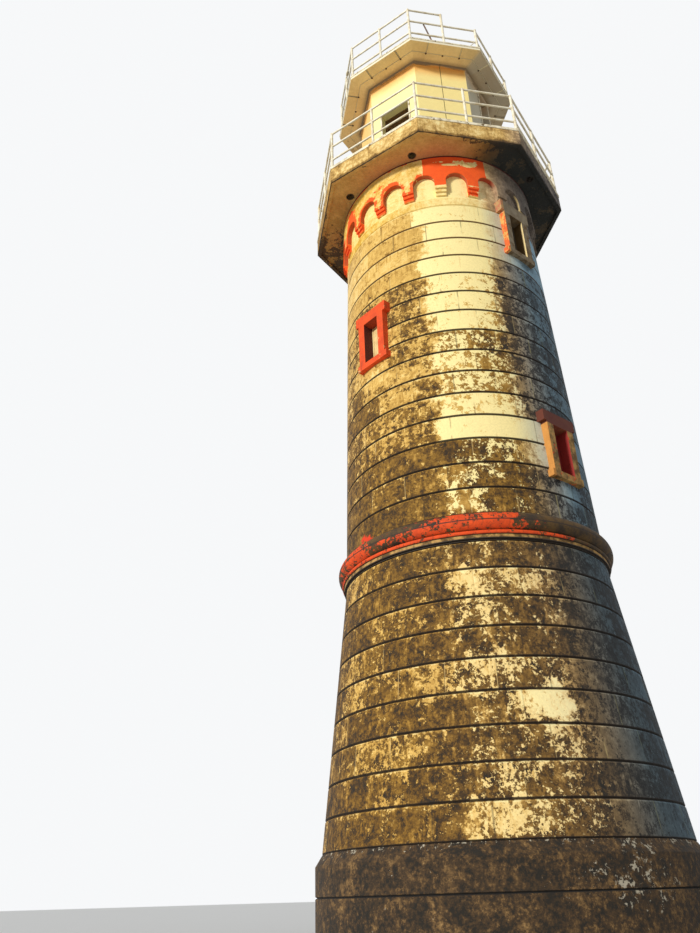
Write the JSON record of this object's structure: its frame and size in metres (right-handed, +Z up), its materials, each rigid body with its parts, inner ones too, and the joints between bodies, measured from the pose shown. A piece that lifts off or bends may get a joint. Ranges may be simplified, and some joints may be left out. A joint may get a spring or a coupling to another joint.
{
  "type": "stone lighthouse tower",
  "caption": "Tapering round stone lighthouse tower with grooved courses, an arcaded cornice, an octagonal gallery, a small octagonal room and a railed platform on top.",
  "frame": {"origin": "on the ground at the tower's vertical axis", "axes": "+Z up along the tower's axis; -Y and +X face flat sides of the octagonal gallery, and the front doorway of the room faces -Y"},
  "size_m": [4.7298, 4.7298, 16.039],
  "materials": {
    "stone": "matte",
    "red_stone": "matte",
    "arcade_stone": "matte",
    "concrete": "matte",
    "cream_panel": "matte",
    "white_metal": "satin",
    "white_kerb": "matte",
    "shutter_wood": "matte"
  },
  "bodies": {
    "root": {"plinth": "stone", "lower_wall_front": "stone", "lower_wall_right": "stone", "lower_wall_back": "stone", "lower_wall_left": "stone", "wall_over_door": "stone", "string_course": "red_stone", "upper_wall_front": "stone", "upper_wall_right": "stone", "upper_wall_back": "stone", "upper_wall_left": "stone", "arcade_front": "arcade_stone", "arcade_right": "arcade_stone", "arcade_back": "arcade_stone", "arcade_left": "arcade_stone", "window_surround_left": "red_stone", "window_surround_right_low": "red_stone", "window_surround_right_high": "red_stone", "window_surround_back": "red_stone", "window_surround_rear_low": "red_stone", "window_surround_rear_high": "red_stone", "window_shutters": "shutter_wood", "gallery_slab": "concrete", "gallery_edge": "white_kerb", "room_wall_front": "cream_panel", "room_wall_front_right": "cream_panel", "room_wall_right": "cream_panel", "room_wall_back_right": "cream_panel", "room_wall_back": "cream_panel", "room_wall_back_left": "cream_panel", "room_wall_left": "cream_panel", "room_wall_front_left": "cream_panel", "room_cornice": "cream_panel", "platform_slab": "cream_panel", "platform_edge": "white_kerb", "gallery_rail_front": "white_metal", "gallery_rail_front_right": "white_metal", "gallery_rail_right": "white_metal", "gallery_rail_back_right": "white_metal", "gallery_rail_back": "white_metal", "gallery_rail_back_left": "white_metal", "gallery_rail_left": "white_metal", "gallery_rail_front_left": "white_metal", "platform_rail_front": "white_metal", "platform_rail_front_right": "white_metal", "platform_rail_right": "white_metal", "platform_rail_back_right": "white_metal", "platform_rail_back": "white_metal", "platform_rail_back_left": "white_metal", "platform_rail_left": "white_metal", "platform_rail_front_left": "white_metal"}
  },
  "joints": []
}
